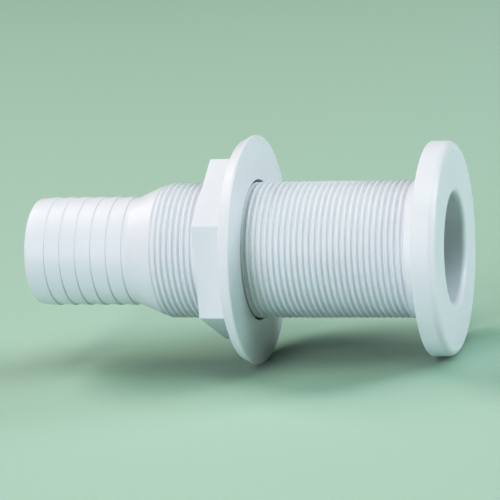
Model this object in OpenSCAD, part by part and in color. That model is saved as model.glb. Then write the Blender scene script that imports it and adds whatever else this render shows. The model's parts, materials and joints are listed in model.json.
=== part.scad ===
// Thru-hull fitting with a serrated hose tail, a loose flange washer and a hex lock nut.
// The fitting's axis lies along X and +X points out of the head, away from the boat.
// The origin is on the axis, in the plane of the head's back face that seals on the hull.

/* [Thread] */
// Major diameter of the barrel's thread (1-7/8 in)
thread_d = 47.625; // [46:0.125:49]
// Threads per inch
thread_tpi = 12; // [10:1:14]
// Radial depth of the thread
thread_depth = 1.15; // [0.8:0.05:1.3]
// Width of the thread's flat crest
thread_crest = 0.5; // [0.3:0.05:0.7]
// Width of the groove's flat root
thread_root = 0.26; // [0.15:0.01:0.3]

/* [Head] */
// Diameter of the head
head_d = 74.1; // [70:0.1:80]
// Thickness of the head
head_t = 8.1; // [6:0.1:12]
// Rounding of the head's front edge
head_edge_r = 2.6; // [1:0.1:4]
// Diameter of the waterway at the head (1-1/2 in)
bore_d = 38.1; // [36:0.1:40]
// Rounding of the waterway's mouth in the head's face
mouth_r = 2.1; // [0.5:0.1:3]
// Plain neck between the thread's last groove and the head
neck_l = 5.2; // [3:0.1:8]

/* [Hose tail] */
// Diameter over the barbs, a push fit in 1-1/2 in hose
barb_d = 38.65; // [38.1:0.05:39.5]
// Height of each barb's step
barb_step = 0.45; // [0.3:0.05:1]
// Distance from one barb to the next
barb_pitch = 5.74; // [5:0.01:6]
// Number of barbs
barb_count = 6; // [3:1:6]
// Width of the flat land on each barb's crest
barb_land = 0.8; // [0.5:0.1:1.5]
// Length of the plain lead-in at the tail's end
lead_l = 7.7; // [5:0.1:9]
// Diameter of the lead-in where it starts
tip_d = 37.8; // [37.4:0.1:38]
// Rounding of the tail's outer end
tip_r = 1.5; // [0.5:0.1:1.8]
// Diameter of the waterway in the hose tail
tail_bore_d = 32; // [28:0.5:32]

/* [Flare] */
// Distance from the head's back face to the foot of the flare
flare_foot = 105; // [104.2:0.1:105.4]
// Distance from the head's back face to the top of the flare
flare_top = 96.3; // [96:0.1:98.5]
// Diameter at the top of the flare, where the thread begins
flare_top_d = 45.5; // [45.3:0.1:46]
// Length over which the thread grows to its full diameter
run_in_l = 3; // [2:0.1:5]

/* [Flange washer] */
// Distance from the head's back face to the washer's front face
washer_gap = 61.9; // [20:0.1:72]
// Diameter of the washer's front face
washer_d = 80.5; // [76:0.1:86]
// Thickness of the washer
washer_t = 4.2; // [2.5:0.1:6]
// How much smaller across the washer's back face is, because its rim tapers towards the nut
washer_taper = 3.3; // [0:0.1:6]
// Play between the washer's hole and the thread's crests, on the radius
washer_play = 0.79; // [0.7:0.01:1.5]

/* [Hex nut] */
// Width of the nut across its flats (2-1/4 in)
nut_af = 57.15; // [55:0.05:62]
// Length of the nut
nut_l = 11.2; // [8:0.1:16]
// Clearance between the nut's hole and the thread's crests, on the radius
nut_clearance = 0.29; // [0.25:0.01:0.5]
// Chamfer at both ends of the nut's hole
nut_chamfer = 0.8; // [0.3:0.1:1.5]

/* [Hidden] */
$fn = 96;
arc_steps = 6;

inch = 25.4;
thread_pitch = inch / thread_tpi;
thread_r = thread_d / 2;
head_r = head_d / 2;
bore_r = bore_d / 2;
tail_bore_r = tail_bore_d / 2;

// The hose tail: each barb's root lies one step below its crest, and the last root rises a little
barb_r = barb_d / 2;
barb_root_r = barb_r - barb_step;
flare_foot_r = barb_root_r + 0.2;
flare_top_r = flare_top_d / 2;

// The washer lies against the nut
washer_front_x = -washer_gap;
washer_back_x = washer_front_x - washer_t;
washer_r = washer_d / 2;
washer_back_r = washer_r - washer_taper / 2;
washer_hole_r = thread_r + washer_play;
nut_tail_x = washer_back_x - nut_l;
nut_hole_r = thread_r + nut_clearance;

// Groove 0 is the one next to the neck, and the grooves fill the barrel up to the flare
groove_w = thread_pitch - thread_crest;
first_groove_x = -neck_l - groove_w / 2;
thread_grooves = floor((flare_top - neck_l) / thread_pitch);

// A groove is at least this deep where the crests beside it are still low
least_depth = 0.1;

// The step of barb 0 is the one nearest the tail's end
last_barb_x = -107.0;
first_barb_x = last_barb_x - (barb_count - 1) * barb_pitch;
tail_end_x = first_barb_x - lead_l;

// The waterway narrows inside the flare, so that its wall stays about 3 mm thick
taper_start_x = -84;
taper_end_x = -102;
tail_mouth_chamfer = 0.8;

// Radius of the barrel's outside where the thread grows to its full diameter
function crest_r(x) =
    min(thread_r, flare_top_r + (thread_r - flare_top_r) * (x + flare_top) / run_in_l);

// Radius of a groove's root
function root_r(x) = min(thread_r - thread_depth, crest_r(x - groove_w / 2) - least_depth);

// One thread groove as four points, from its tail side to its head side
function groove(x) =
    [
        [crest_r(x - groove_w / 2), x - groove_w / 2],
        [root_r(x), x - thread_root / 2],
        [root_r(x), x + thread_root / 2],
        [crest_r(x + groove_w / 2), x + groove_w / 2]
    ];

// One barb rises from its root to a flat land and ends in a step that faces the head
function barb(x) =
    [
        [barb_r, x - barb_land],
        [barb_r, x],
        [barb_root_r, x]
    ];

// Points along a round edge of radius r about the centre [cr, cx], between two angles
function edge(cr, cx, r, from, to) =
    [for (i = [0 : arc_steps]) let (a = from + (to - from) * i / arc_steps)
        [cr + r * cos(a), cx + r * sin(a)]];

// The outside of the fitting from the tail's end to the head's face, as [radius, x]
outside = concat(
    edge(tip_d / 2 - tip_r, tail_end_x + tip_r, tip_r, -90, 0),
    [for (i = [0 : barb_count - 1]) each barb(first_barb_x + i * barb_pitch)],
    [[flare_foot_r, -flare_foot]],
    [[flare_top_r, -flare_top]],
    [for (i = [thread_grooves - 1 : -1 : 0]) each groove(first_groove_x - i * thread_pitch)],
    [[thread_r, 0]],
    [[head_r, 0]],
    edge(head_r - head_edge_r, head_t - head_edge_r, head_edge_r, 0, 90)
);

// The waterway from the head's face back to the tail's end, as [radius, x]
waterway = concat(
    edge(bore_r + mouth_r, head_t - mouth_r, mouth_r, 90, 180),
    [[bore_r, taper_start_x]],
    [[tail_bore_r, taper_end_x]],
    [[tail_bore_r, tail_end_x + tail_mouth_chamfer]],
    [[tail_bore_r + tail_mouth_chamfer, tail_end_x]]
);

// Turns an outline of [radius, x] points about the X axis
module turned(outline) {
    rotate([0, 90, 0])
        rotate_extrude()
            polygon(outline);
}

// Head, threaded barrel, flare and hose tail, moulded in one piece with the waterway through it
module fitting_body() {
    color("white")
        turned(concat(outside, waterway));
}

// Loose washer that spreads the nut's load, with a rim that tapers towards the nut
module flange_washer() {
    color("whitesmoke")
        turned([
            [washer_hole_r, washer_back_x],
            [washer_back_r, washer_back_x],
            [washer_r, washer_front_x],
            [washer_hole_r, washer_front_x]
        ]);
}

// Hex lock nut, with one corner pointing up, and a hole chamfered at both ends
module hex_nut() {
    corner_r = nut_af / 2 / cos(30);
    past_end = 1;
    cutter_r = nut_hole_r + nut_chamfer + past_end;
    color("snow")
        difference() {
            translate([nut_tail_x, 0, 0])
                rotate([0, 90, 0])
                    cylinder(r = corner_r, h = nut_l, $fn = 6);
            turned([
                [0, nut_tail_x - past_end],
                [cutter_r, nut_tail_x - past_end],
                [nut_hole_r, nut_tail_x + nut_chamfer],
                [nut_hole_r, washer_back_x - nut_chamfer],
                [cutter_r, washer_back_x + past_end],
                [0, washer_back_x + past_end]
            ]);
        }
}

fitting_body();
flange_washer();
hex_nut();
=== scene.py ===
import json
from math import atan, atan2, ceil, cos, degrees, floor, pi, radians, sin, sqrt, tan

import bmesh
import bpy
from mathutils import Matrix, Vector
from mathutils.geometry import tessellate_polygon


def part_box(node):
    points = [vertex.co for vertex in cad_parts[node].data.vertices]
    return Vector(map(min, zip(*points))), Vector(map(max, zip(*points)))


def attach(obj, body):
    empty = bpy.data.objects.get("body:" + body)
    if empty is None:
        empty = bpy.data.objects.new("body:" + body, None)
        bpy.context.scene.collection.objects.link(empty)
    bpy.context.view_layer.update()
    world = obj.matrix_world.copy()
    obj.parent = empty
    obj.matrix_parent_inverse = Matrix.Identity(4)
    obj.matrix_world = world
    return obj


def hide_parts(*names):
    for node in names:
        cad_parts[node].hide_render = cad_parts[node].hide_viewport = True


# A plastic thru-hull fitting: the moulded body, its loose flange washer and its hex lock nut.
# Lengths are in millimetres until a mesh is made. X is the fitting's axis, and +X is the head.

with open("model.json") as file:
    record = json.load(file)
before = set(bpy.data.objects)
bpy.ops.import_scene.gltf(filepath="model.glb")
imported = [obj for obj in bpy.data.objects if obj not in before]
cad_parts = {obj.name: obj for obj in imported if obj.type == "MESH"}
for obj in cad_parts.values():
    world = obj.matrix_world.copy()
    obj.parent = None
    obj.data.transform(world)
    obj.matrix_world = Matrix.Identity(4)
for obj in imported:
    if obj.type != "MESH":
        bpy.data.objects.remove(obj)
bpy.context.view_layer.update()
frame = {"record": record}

MM = 0.001


# ---- Sizes from the frame ----

def box_mm(node):
    """A CAD node's lowest and highest corners, in millimetres."""
    low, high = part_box(node)
    return low / MM, high / MM


def mount_radius(name):
    """The radius that the record gives for one of its mounts."""
    return next(m["dims"]["r_mm"] for m in frame["record"]["mounts"] if m["name"] == name)


body_low, body_high = box_mm("fitting_body")
washer_low, washer_high = box_mm("flange_washer")
nut_low, nut_high = box_mm("hex_nut")

TAIL_END_X = body_low.x
HEAD_FACE_X = body_high.x
HEAD_R = body_high.y
BORE_R = mount_radius("waterway")
TAIL_BORE_R = mount_radius("tail_bore")
BARB_R = mount_radius("hose_tail")
WASHER_FRONT_X = washer_high.x
WASHER_BACK_X = washer_low.x
WASHER_R = washer_high.y
NUT_FRONT_X = nut_high.x
NUT_BACK_X = nut_low.x
NUT_FLAT_R = nut_high.y

# ---- Sizes of the thread ----

# The pitch is the lead that couples the nut's slide to its hinge
PITCH = 2 * pi * frame["record"]["behaviour"]["couplings"][0]["ratio"] / MM
THREAD_R = 23.8125
ROOT_R = 22.6625
GROOVE_HALF_W = 0.76
ROOT_HALF_W = 0.13

# One side of a groove: the distance from its middle, and the share of its full depth there
GROOVE_CREST_SIDE = ((0.84, 0.0), (GROOVE_HALF_W, 0.03), (0.69, 0.11))
GROOVE_ROOT_SIDE = ((0.22, 0.885), (0.1, 0.985))

# The groove passes this x at this angle beside the neck, and fades out a little further on
NECK_GROOVE_X = -6.01
NECK_GROOVE_ANGLE = radians(164.4)
LAST_GROOVE_ANGLE = NECK_GROOVE_ANGLE + radians(80)
GROOVE_FADE_ANGLE = radians(45)

# At the flare it starts at this x, over this length, and is at least this deep
GROOVE_START_X = -96.8
GROOVE_START_L = 1.2
GROOVE_START_DEPTH = 0.9

# ---- Sizes of the body's outline ----

# The helix's surface runs from THREAD_END_X on the flare to NECK_X beside the head
NECK_X = -3.0
THREAD_END_X = -97.5
NECK_FILLET = 0.4
HEAD_BACK_ROUND = 0.5
HEAD_EDGE_ROUND = 2.6
MOUTH_ROUND = 2.1
FLARE_TOP_X = -96.3
FLARE_TOP_R = 22.75
FLARE_FOOT_X = -105.0
FLARE_FOOT_R = 19.08
FLARE_FOOT_ROUND = 3.0
RUN_IN_L = 3.0
BARB_STEP = 0.45
BARB_PITCH = 5.74
BARB_COUNT = 6
BARB_LAND = 0.8
BARB_EDGE_ROUND = 0.2
BARB_ROOT_ROUND = 0.25
LAST_BARB_X = -107.0
TIP_R = 18.9
TIP_ROUND = 1.5
BORE_TAPER_X = -84.0
BORE_TAPER_END_X = -102.0
BORE_TAPER_ROUND = 6.0
TAIL_MOUTH = 0.8
TAIL_MOUTH_ROUND = 0.2

# The shallow round marks that the mould's ejector pins leave in the head's face. Each is cut into
# a few of the face's quads, and has this many points round it.
MARK_COUNT = 4
MARK_ANGLE = radians(-9)
MARK_RING_R = 33.0
MARK_R = 0.9
MARK_DEPTH = 0.35
MARK_POINTS = 20
MARK_QUADS = 4

# ---- Sizes of the washer and the nut ----

WASHER_PLAY = 0.79
WASHER_TAPER = 1.65
WASHER_HOLE_R = THREAD_R + WASHER_PLAY
WASHER_BACK_R = WASHER_R - WASHER_TAPER
WASHER_RIM_LAND = 0.9
WASHER_FRONT_ROUND = 0.7
WASHER_LAND_ROUND = 0.8
WASHER_BACK_ROUND = 0.4
WASHER_HOLE_ROUND = 0.25
NUT_CLEARANCE = 0.29
NUT_TIP_GAP = 0.2
NUT_FLANK_GAP = 0.12
NUT_HOLE_R = THREAD_R + NUT_CLEARANCE
NUT_TIP_R = ROOT_R + NUT_TIP_GAP
NUT_CHAMFER = 0.8
NUT_CORNER_ROUND = 0.7
NUT_EDGE_ROUND = 0.35

# ---- How finely the meshes are made ----

COLUMNS = 128
HEXAGON_STEPS = 6
NUT_EDGE_ANGLES = [radians(a) for a in (0, 30, 60, 90)]

# A point of the thread that comes this close to the ring at its end is the ring's own point
SNAP = 0.02


# ---- Outlines: lists of (x, radius) points ----

def fillet(before, corner, after, radius, steps):
    """The corner of an outline as an arc of that radius, or the corner itself if the radius is 0."""
    point = Vector(corner)
    if radius == 0:
        return [tuple(point)]
    to_before = (Vector(before) - point).normalized()
    to_after = (Vector(after) - point).normalized()
    half = to_before.angle(to_after) / 2
    centre = point + (to_before + to_after).normalized() * (radius / sin(half))
    start = point + to_before * (radius / tan(half)) - centre
    end = point + to_after * (radius / tan(half)) - centre
    turn = start.angle_signed(end)
    made = []
    for i in range(steps + 1):
        arm = start.copy()
        arm.rotate(Matrix.Rotation(-turn * i / steps, 2))
        made.append(tuple(centre + arm))
    return made


def rounded(corners, closed=False):
    """An outline from corners (x, radius, rounding, steps), with each corner rounded."""
    made = []
    last = len(corners) - 1
    for i, (x, r, rounding, steps) in enumerate(corners):
        if not closed and i in (0, last):
            made.append((x, r))
            continue
        before = corners[i - 1][:2]
        after = corners[(i + 1) % len(corners)][:2]
        made += fillet(before, (x, r), after, rounding, steps)
    return made


# ---- Meshes ----

class Skin:
    """The points and faces of one closed piece, built of rings about the X axis."""

    def __init__(self, angles):
        self.angles = angles
        self.points = []
        self.faces = []

    def add(self, x, y, z):
        """Adds a point and returns its number."""
        self.points.append((x * MM, y * MM, z * MM))
        return len(self.points) - 1

    def point(self, x, r, angle):
        return self.add(x, r * cos(angle), r * sin(angle))

    def face(self, *corners):
        """A face without the corners that repeat, and none at all if fewer than three are left."""
        kept = [c for i, c in enumerate(corners) if c != corners[i - 1]]
        if len(kept) > 2:
            self.faces.append(kept)

    def ring(self, x, radius_at):
        """A ring of points at x. radius_at gives the radius at an angle."""
        return [self.point(x, radius_at(a), a) for a in self.angles]

    def band(self, ring, following):
        """Quads all the way round between two rings."""
        for j in range(len(ring)):
            k = (j + 1) % len(ring)
            self.face(ring[j], ring[k], following[k], following[j])

    def turn(self, outline):
        """Round rings along an outline, with bands between them. Returns all the rings."""
        rings = [self.ring(x, lambda angle, r=r: r) for x, r in outline]
        for ring, following in zip(rings, rings[1:]):
            self.band(ring, following)
        return rings

    def fill(self, loop, hole):
        """Flat triangles between a loop of points and a hole in it."""
        corners = loop + hole
        loops = [[Vector(self.points[c]) for c in part] for part in (loop, hole)]
        for triangle in tessellate_polygon(loops):
            self.face(*[corners[i] for i in triangle])

    def helix(self, low, high, offsets, radius_at):
        """The surface between two rings, in rows that follow the thread.

        low and high are (x, ring). The rows lie at the offsets from each groove's middle, and
        radius_at(x, helix_angle, offset) gives the radius. Rows end where they meet a ring."""
        low_x, low_ring = low
        high_x, high_ring = high
        # Turns to spare at both ends, so that every column's rows run past the rings.
        first_turn = floor((low_x - groove_x(0)) / PITCH) - 2
        last_turn = ceil((high_x - groove_x(0)) / PITCH) + 1
        rows = [(n, u) for n in range(first_turn, last_turn + 1) for u in offsets]
        columns = []
        for j, angle in enumerate(self.angles):
            column = []
            for turn_number, offset in rows:
                helix_angle = angle + 2 * pi * turn_number
                x = groove_x(helix_angle) + offset
                if x < low_x + SNAP:
                    column.append(low_ring[j])
                elif x > high_x - SNAP:
                    column.append(high_ring[j])
                else:
                    r = radius_at(x, helix_angle, offset)
                    column.append(self.point(x, r, angle))
            columns.append(column)
        # Past the last column comes the first one again, one turn further along the thread.
        next_turn = columns[0][len(offsets):] + [high_ring[0]] * len(offsets)
        for column, following in zip(columns, columns[1:] + [next_turn]):
            for i in range(len(rows) - 1):
                self.face(column[i], following[i], following[i + 1], column[i + 1])

    def finish(self, name):
        """The piece as an object, with normals facing out and shaded smooth."""
        mesh = bpy.data.meshes.new(name)
        mesh.from_pydata(self.points, [], self.faces)
        work = bmesh.new()
        work.from_mesh(mesh)
        bmesh.ops.recalc_face_normals(work, faces=work.faces)
        work.to_mesh(mesh)
        work.free()
        mesh.shade_smooth()
        piece = bpy.data.objects.new(name, mesh)
        bpy.context.scene.collection.objects.link(piece)
        shading = piece.modifiers.new("weighted_normals", "WEIGHTED_NORMAL")
        shading.mode = "FACE_AREA"
        return piece


def even_angles(count):
    return [2 * pi * i / count for i in range(count)]


# ---- The thread ----

def groove_x(helix_angle):
    """Where the groove's middle is. The helix angle counts on past a full turn."""
    return NECK_GROOVE_X + PITCH * (helix_angle - NECK_GROOVE_ANGLE) / (2 * pi)


def groove_rows():
    """Offsets across one pitch of the thread, each with the share of full depth there.

    The middle of the crest is given once, because it is also the next turn's."""
    side = [*GROOVE_CREST_SIDE, *GROOVE_ROOT_SIDE]
    rows = {-PITCH / 2: 0.0}
    for offset, share in side:
        rows[-offset] = share
        rows[offset] = share
    return rows


def smooth_step(t):
    t = min(1.0, max(0.0, t))
    return t * t * (3 - 2 * t)


def crest_r(x):
    """Radius over the thread's crests, which grow from the flare over the run-in."""
    if x < FLARE_TOP_X:
        share = (x - FLARE_FOOT_X) / (FLARE_TOP_X - FLARE_FOOT_X)
        return FLARE_FOOT_R + (FLARE_TOP_R - FLARE_FOOT_R) * share
    share = (x - FLARE_TOP_X) / RUN_IN_L
    return min(THREAD_R, FLARE_TOP_R + (THREAD_R - FLARE_TOP_R) * share)


# ---- The pieces ----

def tail_corners():
    """The hose tail's outside, from its end to the flare."""
    corners = [(TAIL_END_X, TIP_R, TIP_ROUND, 6)]
    for i in range(BARB_COUNT):
        x = LAST_BARB_X - (BARB_COUNT - 1 - i) * BARB_PITCH
        corners += [
            (x - BARB_LAND, BARB_R, 0.0, 1),
            (x, BARB_R, BARB_EDGE_ROUND, 3),
            (x, BARB_R - BARB_STEP, BARB_ROOT_ROUND, 4),
        ]
    corners.append((FLARE_FOOT_X, FLARE_FOOT_R, FLARE_FOOT_ROUND, 6))
    return corners


def ejector_mark(skin, outer, inner, angle):
    """One mark in the head's face, in place of the face's quads nearest to it.

    Returns the columns of those quads."""
    middle = round(angle / (2 * pi) * COLUMNS)
    first = middle - MARK_QUADS // 2
    columns = [(first + j) % COLUMNS for j in range(MARK_QUADS + 1)]
    loop = [outer[c] for c in columns] + [inner[c] for c in reversed(columns)]
    centre = Vector((0, cos(angle), sin(angle))) * MARK_RING_R

    def circle(x, r):
        turns = even_angles(MARK_POINTS)
        return [skin.add(x, centre.y + r * cos(t), centre.z + r * sin(t)) for t in turns]

    rim = circle(HEAD_FACE_X, MARK_R)
    bottom = circle(HEAD_FACE_X - MARK_DEPTH, MARK_R - MARK_DEPTH)
    skin.fill(loop, rim)
    skin.band(rim, bottom)
    skin.face(*bottom)
    return columns[:-1]


def head_face(skin, outer, inner):
    """The head's flat face between two rings, with the ejector pins' marks in it."""
    marked = set()
    for k in range(MARK_COUNT):
        marked.update(ejector_mark(skin, outer, inner, MARK_ANGLE + 2 * pi * k / MARK_COUNT))
    for j in range(COLUMNS):
        if j not in marked:
            k = (j + 1) % COLUMNS
            skin.face(outer[j], outer[k], inner[k], inner[j])


def groove_depth(x, helix_angle):
    """Depth of the thread's groove, which fades out at the flare and beside the neck."""
    fade = smooth_step((LAST_GROOVE_ANGLE - helix_angle) / GROOVE_FADE_ANGLE)
    start = smooth_step((x - GROOVE_START_X) / GROOVE_START_L)
    return fade * start * max(GROOVE_START_DEPTH, crest_r(x) - ROOT_R)


def fitting_body():
    """The moulding, in three parts: the head, the helix, and the waterway with the hose tail."""
    skin = Skin(even_angles(COLUMNS))
    rows = groove_rows()
    head = rounded(
        [
            (NECK_X, THREAD_R, 0.0, 1),
            (0.0, THREAD_R, NECK_FILLET, 3),
            (0.0, HEAD_R, HEAD_BACK_ROUND, 4),
            (HEAD_FACE_X, HEAD_R, HEAD_EDGE_ROUND, 8),
            (HEAD_FACE_X, BORE_R, 0.0, 1),
        ]
    )[:-1]
    inside_and_tail = rounded(
        [
            (HEAD_FACE_X, HEAD_R, 0.0, 1),
            (HEAD_FACE_X, BORE_R, MOUTH_ROUND, 8),
            (BORE_TAPER_X, BORE_R, BORE_TAPER_ROUND, 3),
            (BORE_TAPER_END_X, TAIL_BORE_R, BORE_TAPER_ROUND, 3),
            (TAIL_END_X + TAIL_MOUTH, TAIL_BORE_R, TAIL_MOUTH_ROUND, 2),
            (TAIL_END_X, TAIL_BORE_R + TAIL_MOUTH, TAIL_MOUTH_ROUND, 2),
            *tail_corners(),
            (THREAD_END_X, crest_r(THREAD_END_X), 0.0, 1),
        ]
    )[1:]
    head_rings = skin.turn(head)
    tail_rings = skin.turn(inside_and_tail)
    head_face(skin, head_rings[-1], tail_rings[0])

    def radius_at(x, helix_angle, offset):
        return crest_r(x) - rows[offset] * groove_depth(x, helix_angle)

    low = (THREAD_END_X, tail_rings[-1])
    high = (NECK_X, head_rings[0])
    skin.helix(low, high, sorted(rows), radius_at)
    return skin.finish("body_moulding")


def flange_washer():
    """The washer, with a narrow land on its rim and a taper behind it."""
    skin = Skin(even_angles(COLUMNS))
    outline = rounded(
        [
            (WASHER_FRONT_X, WASHER_HOLE_R, WASHER_HOLE_ROUND, 3),
            (WASHER_FRONT_X, WASHER_R, WASHER_FRONT_ROUND, 5),
            (WASHER_FRONT_X - WASHER_RIM_LAND, WASHER_R, WASHER_LAND_ROUND, 3),
            (WASHER_BACK_X, WASHER_BACK_R, WASHER_BACK_ROUND, 4),
            (WASHER_BACK_X, WASHER_HOLE_R, WASHER_HOLE_ROUND, 3),
        ],
        closed=True,
    )
    rings = skin.turn(outline)
    skin.band(rings[-1], rings[0])
    return skin.finish("washer_ring")


def flat_end(flat_r):
    """The angle in degrees, from a flat's middle, where the flat ends and a round corner begins."""
    return degrees(atan((flat_r - NUT_CORNER_ROUND) * tan(pi / 6) / flat_r))


def hexagon_r(angle, flat_r):
    """Radius of a hexagon with rounded corners, one of which points up, at an angle."""
    from_flat = abs((degrees(angle) + 30) % 60 - 30)
    if from_flat <= flat_end(flat_r):
        return flat_r / cos(radians(from_flat))
    to_corner = radians(30 - from_flat)
    centre_r = (flat_r - NUT_CORNER_ROUND) / cos(pi / 6)
    return centre_r * cos(to_corner) + sqrt(NUT_CORNER_ROUND**2 - (centre_r * sin(to_corner)) ** 2)


def hexagon_angles():
    """Angles round the nut, close together at its corners."""
    steps = HEXAGON_STEPS
    end = flat_end(NUT_FLAT_R)
    flat = [end * i / steps for i in range(-steps, steps + 1)]
    corner = [end + (60 - 2 * end) * i / steps for i in range(1, steps)]
    return [radians(60 * side + a) for side in range(6) for a in flat + corner]


def nut_outside(skin, back_mouth, front_mouth):
    """The nut's two faces, its flats and the rounded edges between them."""
    edge = [
        (NUT_EDGE_ROUND * (1 - cos(t)), NUT_EDGE_ROUND * (1 - sin(t))) for t in NUT_EDGE_ANGLES
    ]
    outline = [(NUT_BACK_X + along, NUT_FLAT_R - inward) for along, inward in edge]
    outline += [(NUT_FRONT_X - along, NUT_FLAT_R - inward) for along, inward in reversed(edge)]
    sides = [skin.ring(x, lambda angle, r=r: hexagon_r(angle, r)) for x, r in outline]
    rings = [back_mouth, *sides, front_mouth]
    for ring, following in zip(rings, rings[1:]):
        skin.band(ring, following)


def ridge_half_w(r):
    """Half the width of the nut's ridge at a radius: the barrel's groove less a gap at its flank."""
    slope = (GROOVE_HALF_W - ROOT_HALF_W) / (THREAD_R - ROOT_R)
    return ROOT_HALF_W + (r - ROOT_R) * slope - NUT_FLANK_GAP


def hex_nut():
    """The nut, with ridges in its hole that lie in the barrel's groove and touch nothing."""
    skin = Skin(hexagon_angles())
    tip_half_w = ridge_half_w(NUT_TIP_R)
    base_half_w = ridge_half_w(NUT_HOLE_R)
    mouth_r = NUT_HOLE_R + NUT_CHAMFER
    back_mouth = skin.ring(NUT_BACK_X, lambda angle: mouth_r)
    front_mouth = skin.ring(NUT_FRONT_X, lambda angle: mouth_r)
    nut_outside(skin, back_mouth, front_mouth)

    def ridge(offset):
        share = (base_half_w - abs(offset)) / (base_half_w - tip_half_w)
        return NUT_HOLE_R - (NUT_HOLE_R - NUT_TIP_R) * min(1.0, max(0.0, share))

    def radius_at(x, helix_angle, offset):
        from_end = min(x - NUT_BACK_X, NUT_FRONT_X - x)
        return max(ridge(offset), mouth_r - from_end)

    half = [PITCH / 2, base_half_w, (base_half_w + tip_half_w) / 2, tip_half_w]
    offsets = sorted([-u for u in half] + half[1:])
    skin.helix((NUT_BACK_X, back_mouth), (NUT_FRONT_X, front_mouth), offsets, radius_at)
    return skin.finish("lock_nut")


# ---- Materials ----

class Nodes:
    """A short way to add shader nodes to one material and link them.

    offset moves the place that the noises are read from."""

    def __init__(self, name, offset=(0, 0, 0)):
        self.material = bpy.data.materials.new(name)
        self.material.use_nodes = True
        self.tree = self.material.node_tree
        self.shader = self.tree.nodes["Principled BSDF"]
        coordinates = self.add("ShaderNodeTexCoord").outputs["Object"]
        self.place = self.vector_math("ADD", coordinates, offset)

    def add(self, kind, inputs=None, **settings):
        node = self.tree.nodes.new(kind)
        for key, value in settings.items():
            setattr(node, key, value)
        for key, value in (inputs or {}).items():
            self.set(node, key, value)
        return node

    def set(self, node, key, value):
        """Sets an input to a value, or links it if the value is another node's output."""
        if isinstance(value, bpy.types.NodeSocket):
            self.tree.links.new(value, node.inputs[key])
        else:
            node.inputs[key].default_value = value

    def vector_math(self, operation, a, b):
        return self.add("ShaderNodeVectorMath", {0: a, 1: b}, operation=operation).outputs["Vector"]

    def noise(self, scale, detail, stretch=(1, 1, 1)):
        """Noise whose features are 1/scale metres across, or longer along a stretch under 1."""
        place = self.vector_math("MULTIPLY", self.place, stretch)
        inputs = {"Vector": place, "Scale": scale, "Detail": detail}
        return self.add("ShaderNodeTexNoise", inputs).outputs["Fac"]

    def ramp(self, value, low, high, to_low=0.0, to_high=1.0):
        """The value from low to high, spread over to_low to to_high and held beyond them."""
        inputs = {
            "Value": value,
            "From Min": low,
            "From Max": high,
            "To Min": to_low,
            "To Max": to_high,
        }
        return self.add("ShaderNodeMapRange", inputs).outputs["Result"]

    def math(self, operation, a, b):
        return self.add("ShaderNodeMath", {0: a, 1: b}, operation=operation).outputs["Value"]

    def mix_colours(self, factor, a, b):
        # A Mix node's colour sockets are its inputs 6 and 7 and its output 2.
        return self.add("ShaderNodeMix", {0: factor, 6: a, 7: b}, data_type="RGBA").outputs[2]

    def bump(self, height, distance, below=None):
        """A bump, distance metres high, on top of the one below it if there is one."""
        inputs = {"Height": height, "Strength": 1.0, "Distance": distance}
        if below:
            inputs["Normal"] = below
        return self.add("ShaderNodeBump", inputs).outputs["Normal"]


LIGHT_WHITE = (0.78, 0.80, 0.83, 1)
DARK_WHITE = (0.74, 0.765, 0.795, 1)
NYLON_IOR = 1.53

# Noise values lie mostly in this band, which is spread over a look's whole range
NOISE_BAND = (0.3, 0.7)
CLOUD_SCALE = 45.0
CLOUD_DETAIL = 4.0
PATCH_SCALE = 160.0
PATCH_DETAIL = 3.0
PATCH_ROUGHNESS = (0.32, 0.44)

# Hairline scuffs run along X, and only the highest values of their noise show
SCUFF_SCALE = 2600.0
SCUFF_DETAIL = 2.0
SCUFF_STRETCH = (0.03, 1.0, 0.35)
SCUFF_BAND = (0.62, 0.74)
SCUFF_ROUGHNESS = 0.12

# How far painted shade takes the thread's grooves towards the darker white, and how much rougher they
# are
GROOVE_PAINTED_SHADE = 0.3
GROOVE_ROUGHNESS = 0.15

# The grooves' mask begins between these distances outside the waterway, in millimetres
GROOVE_MASK_START = 1.0
GROOVE_MASK_END = 2.0

# Heights of the bumps, in metres: slow sink marks and the mould's fine grain
SINK_SCALE = 110.0
SINK_DETAIL = 1.0
SINK_HEIGHT = 0.00006
GRAIN_SCALE = 2200.0
GRAIN_DETAIL = 2.0
GRAIN_HEIGHT = 0.000006


def nylon(name, offset, grooves=None):
    """Satin white nylon: faint clouds, a fine moulded grain, uneven gloss and hairline scuffs.

    grooves, if given, makes a mask of the thread's groove roots, which get painted shade and are a
    little duller."""
    made = Nodes(name, offset)
    clouds = made.ramp(made.noise(CLOUD_SCALE, CLOUD_DETAIL), *NOISE_BAND)
    colour = made.mix_colours(clouds, DARK_WHITE, LIGHT_WHITE)
    patches = made.ramp(made.noise(PATCH_SCALE, PATCH_DETAIL), *NOISE_BAND, *PATCH_ROUGHNESS)
    hairlines = made.noise(SCUFF_SCALE, SCUFF_DETAIL, stretch=SCUFF_STRETCH)
    scuffs = made.ramp(hairlines, *SCUFF_BAND, 0.0, SCUFF_ROUGHNESS)
    roughness = made.math("ADD", patches, scuffs)
    if grooves:
        mask = grooves(made)
        # Painted shade: the grooves' roots are darkened towards the darker white
        painted_shade = made.math("MULTIPLY", mask, GROOVE_PAINTED_SHADE)
        colour = made.mix_colours(painted_shade, colour, DARK_WHITE)
        roughness = made.math("ADD", roughness, made.math("MULTIPLY", mask, GROOVE_ROUGHNESS))
    sink = made.bump(made.noise(SINK_SCALE, SINK_DETAIL), SINK_HEIGHT)
    grain = made.bump(made.noise(GRAIN_SCALE, GRAIN_DETAIL), GRAIN_HEIGHT, below=sink)
    made.set(made.shader, "Base Color", colour)
    made.set(made.shader, "Roughness", roughness)
    made.set(made.shader, "Normal", grain)
    made.set(made.shader, "IOR", NYLON_IOR)
    return made.material


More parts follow.
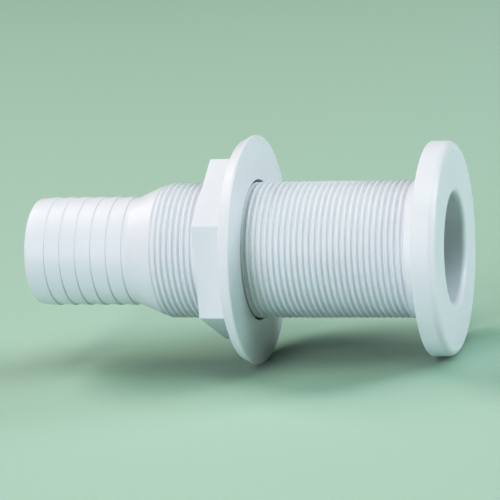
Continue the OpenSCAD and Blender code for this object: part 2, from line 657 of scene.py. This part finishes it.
def thread_grooves(made):
    """The grooves of the barrel's thread, as a mask for their painted shade and roughness: 1 at their
    roots and 0 at the crests and off the barrel.
    """
    coordinates = made.add("ShaderNodeTexCoord").outputs["Object"]
    across = made.vector_math("MULTIPLY", coordinates, (0, 1, 1))
    from_axis = made.add("ShaderNodeVectorMath", {0: across}, operation="LENGTH").outputs["Value"]
    depth = made.ramp(from_axis, THREAD_R * MM, ROOT_R * MM)
    mask_start = (BORE_R + GROOVE_MASK_START) * MM
    mask_end = (BORE_R + GROOVE_MASK_END) * MM
    outside = made.ramp(from_axis, mask_start, mask_end)
    x = made.add("ShaderNodeSeparateXYZ", {0: coordinates}).outputs["X"]
    past_flare = made.ramp(x, FLARE_TOP_X * MM, (FLARE_TOP_X + RUN_IN_L) * MM)
    before_head = made.ramp(x, 0.0, NECK_X * MM)
    along = made.math("MULTIPLY", past_flare, before_head)
    return made.math("MULTIPLY", made.math("MULTIPLY", depth, outside), along)


FLOOR_GREEN = (0.372, 0.525, 0.415, 1)
FLOOR_ROUGHNESS = 0.7
TOOTH_SCALE = 900.0
TOOTH_DETAIL = 3.0
TOOTH_HEIGHT = 0.000015


def floor_paper():
    """Plain pale green paper with a fine tooth."""
    made = Nodes("floor_paper")
    tooth = made.bump(made.noise(TOOTH_SCALE, TOOTH_DETAIL), TOOTH_HEIGHT)
    made.set(made.shader, "Normal", tooth)
    made.set(made.shader, "Base Color", FLOOR_GREEN)
    made.set(made.shader, "Roughness", FLOOR_ROUGHNESS)
    return made.material


# ---- The set ----

# The floor's half width in metres, and how far behind its face the head stands on the floor
FLOOR_HALF_W = 4.0
HEAD_FOOT_BACK = 2.5


def lay_floor():
    """A floor that the washer's rim and the head's rim both stand on."""
    washer_foot = Vector((WASHER_FRONT_X, 0, -WASHER_R)) * MM
    head_foot = Vector((HEAD_FACE_X - HEAD_FOOT_BACK, 0, -HEAD_R)) * MM
    slope = atan2(head_foot.z - washer_foot.z, head_foot.x - washer_foot.x)
    signs = ((-1, -1), (1, -1), (1, 1), (-1, 1))
    corners = [(a * FLOOR_HALF_W, b * FLOOR_HALF_W, 0) for a, b in signs]
    mesh = bpy.data.meshes.new("floor")
    mesh.from_pydata(corners, [], [(0, 1, 2, 3)])
    mesh.materials.append(floor_paper())
    made = bpy.data.objects.new("floor", mesh)
    made.location = washer_foot
    made.rotation_euler = (0, -slope, 0)
    bpy.context.scene.collection.objects.link(made)


# Tints of the lights
COOL = (0.86, 0.86, 1.0)
BLUE = (0.75, 0.79, 1.0)
AQUA = (0.78, 1.0, 0.98)
NEUTRAL = (0.95, 1.0, 0.98)
WARM = (1.0, 0.94, 0.92)

# Each soft box: azimuth and elevation in degrees, width in metres, watts, and tint.
# Azimuth 0 is in front of the fitting and 90 beyond its head.
SOFT_BOXES = {
    "head_side": (105, 22, 0.7, 27.3, COOL),
    "overhead_front": (0, 70, 1.4, 19.8, NEUTRAL),
    "overhead_head": (90, 50, 1.4, 19.3, AQUA),
    "front_low": (-20, 10, 1.4, 29.5, BLUE),
    "front_high": (-12, 35, 0.7, 12.7, WARM),
    "tail_side": (-110, 45, 1.4, 36.3, WARM),
}
SOFT_BOX_DISTANCE = 2.5
WORLD_LIGHT = 0.0
SET_MIDDLE = Vector((-0.06, 0.0, 0.0))


def direction(azimuth, elevation):
    """The direction from the fitting to something, from angles in degrees."""
    a = radians(azimuth)
    e = radians(elevation)
    return Vector((sin(a) * cos(e), -cos(a) * cos(e), sin(e)))


def light_set():
    """The soft boxes, all turned to the set's middle, and a world that adds no light."""
    for name, (azimuth, elevation, width, watts, tint) in SOFT_BOXES.items():
        light = bpy.data.lights.new(name, "AREA")
        light.size = width
        light.energy = watts
        light.color = tint
        towards = direction(azimuth, elevation)
        made = bpy.data.objects.new(name, light)
        made.location = SET_MIDDLE + towards * SOFT_BOX_DISTANCE
        made.rotation_euler = (-towards).to_track_quat("-Z", "Y").to_euler()
        bpy.context.scene.collection.objects.link(made)
    world = bpy.data.worlds.new("studio")
    world.use_nodes = True
    world.node_tree.nodes["Background"].inputs["Strength"].default_value = WORLD_LIGHT
    bpy.context.scene.world = world


# The camera, solved from the outlines of the three pieces: angles in degrees, lengths in metres,
# and the lens and its sensor in millimetres
CAMERA_TARGET = Vector((-0.06555, 0.0, -0.0001))
CAMERA_AZIMUTH = 16.547
CAMERA_ELEVATION = 15.0
CAMERA_ROLL = radians(-4.78)
CAMERA_DISTANCE = 0.8959
CAMERA_LENS = 183.68
CAMERA_SENSOR = 36.0
CAMERA_NEAR = 0.01
CAMERA_FAR = 50.0


def camera():
    """The camera looks at the fitting from its front right, rolled a little."""
    back = direction(CAMERA_AZIMUTH, CAMERA_ELEVATION)
    level_right = (-back).cross(Vector((0, 0, 1))).normalized()
    level_up = level_right.cross(-back)
    right = level_right * cos(CAMERA_ROLL) + level_up * sin(CAMERA_ROLL)
    up = level_up * cos(CAMERA_ROLL) - level_right * sin(CAMERA_ROLL)
    lens = bpy.data.cameras.new("camera")
    lens.lens = CAMERA_LENS
    lens.sensor_width = CAMERA_SENSOR
    lens.clip_start = CAMERA_NEAR
    lens.clip_end = CAMERA_FAR
    made = bpy.data.objects.new("camera", lens)
    turn = Matrix((right, up, back)).transposed().to_4x4()
    made.matrix_world = Matrix.Translation(CAMERA_TARGET + back * CAMERA_DISTANCE) @ turn
    bpy.context.scene.collection.objects.link(made)
    bpy.context.scene.camera = made


# A camera's gentle tone curve, from scene light to picture light: shadows a little deeper
# than in life, and highlights that roll off softly.
TONE_POINTS = ((0.22, 0.185), (0.42, 0.425), (0.72, 0.745))
TONE_WHITE = 0.93
COMBINED_CURVE = 3


def camera_tone():
    """Puts the tone curve on the view, on the curve that holds for all three colours."""
    view = bpy.context.scene.view_settings
    view.view_transform = "Standard"
    view.use_curve_mapping = True
    curve = view.curve_mapping.curves[COMBINED_CURVE]
    curve.points[-1].location = (1.0, TONE_WHITE)
    for scene_light, picture_light in TONE_POINTS:
        curve.points.new(scene_light, picture_light)
    view.curve_mapping.update()


# ---- Everything together ----

def place(piece, node, body, slot, material):
    """Gives a piece its material and its body, and puts it in place of a CAD node."""
    piece.data.materials.append(material)
    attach(piece, body)
    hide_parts(node)


camera()
light_set()
lay_floor()
camera_tone()

# Each piece takes its noise from a place of its own, so that no two look alike.
body_nylon = nylon("body_nylon", (0.37, 0.61, 0.29), grooves=thread_grooves)
washer_nylon = nylon("washer_nylon", (0.74, 0.22, 0.58))
nut_nylon = nylon("nut_nylon", (0.11, 0.83, 0.87))
place(fitting_body(), "fitting_body", "body", "body_plastic", body_nylon)
place(flange_washer(), "flange_washer", "washer", "washer_plastic", washer_nylon)
place(hex_nut(), "hex_nut", "nut", "nut_plastic", nut_nylon)
